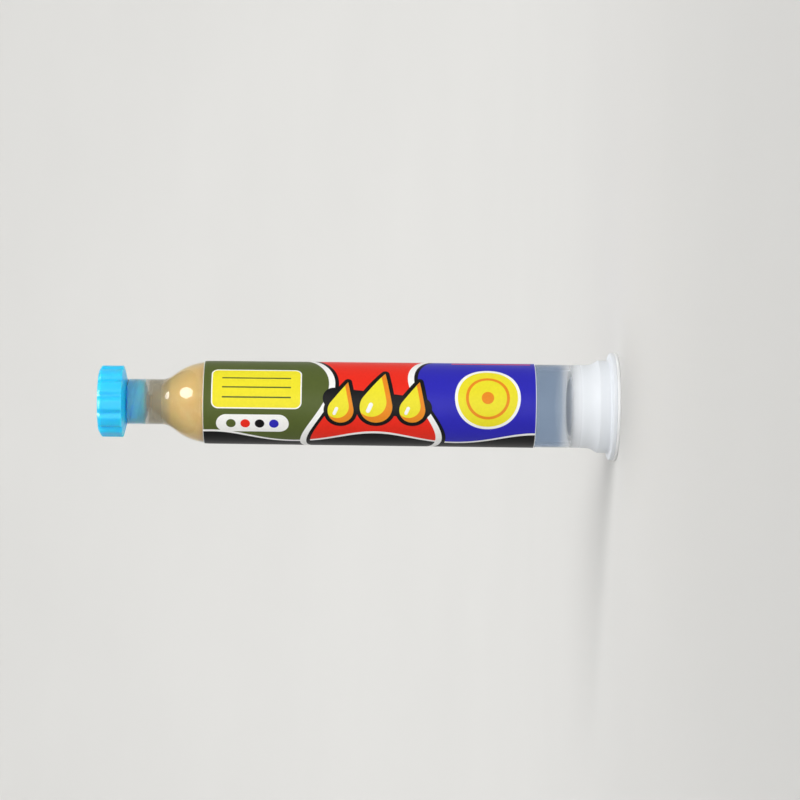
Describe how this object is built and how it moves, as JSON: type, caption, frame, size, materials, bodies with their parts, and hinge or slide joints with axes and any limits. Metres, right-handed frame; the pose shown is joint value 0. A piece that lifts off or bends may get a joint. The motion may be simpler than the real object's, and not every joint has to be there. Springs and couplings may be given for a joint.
{
  "type": "flux syringe",
  "caption": "Clear barrel of tan solder flux paste with a lobed screw-on tip cap, a wrapped printed label and a white plug end cap, standing on its end cap.",
  "frame": {"origin": "centre of the end cap's rear face, the lowest point of the part as it stands", "axes": "+Z along the barrel towards the nozzle, -Y the side the picture shows, +X the picture's up"},
  "size_m": [0.0229, 0.0228, 0.1095],
  "materials": {
    "clear_polypropylene": "moulded, translucent",
    "blue_polypropylene": "moulded",
    "white_polyethylene": "moulded",
    "piston_polyethylene": "moulded",
    "tan_paste": "smooth paste",
    "printed_film": "printed film"
  },
  "bodies": {
    "barrel": {"barrel": "clear_polypropylene", "label": "printed_film", "flux_paste": "tan_paste"},
    "tip_cap": {"tip_cap": "blue_polypropylene"},
    "end_cap": {"end_cap": "white_polyethylene"},
    "piston": {"piston": "piston_polyethylene"}
  },
  "joints": [
    {"name": "tip_cap_off", "type": "slide", "parent": "barrel", "child": "tip_cap", "axis": [0, 0, 1], "range_m": [0, 0.02]},
    {"name": "end_cap_out", "type": "slide", "parent": "barrel", "child": "end_cap", "axis": [0, 0, -1], "range_m": [0, 0.02]},
    {"name": "piston_push", "type": "slide", "parent": "barrel", "child": "piston", "axis": [0, 0, 1], "range_m": [0, 0.049], "deforming": ["flux_paste"]}
  ]
}
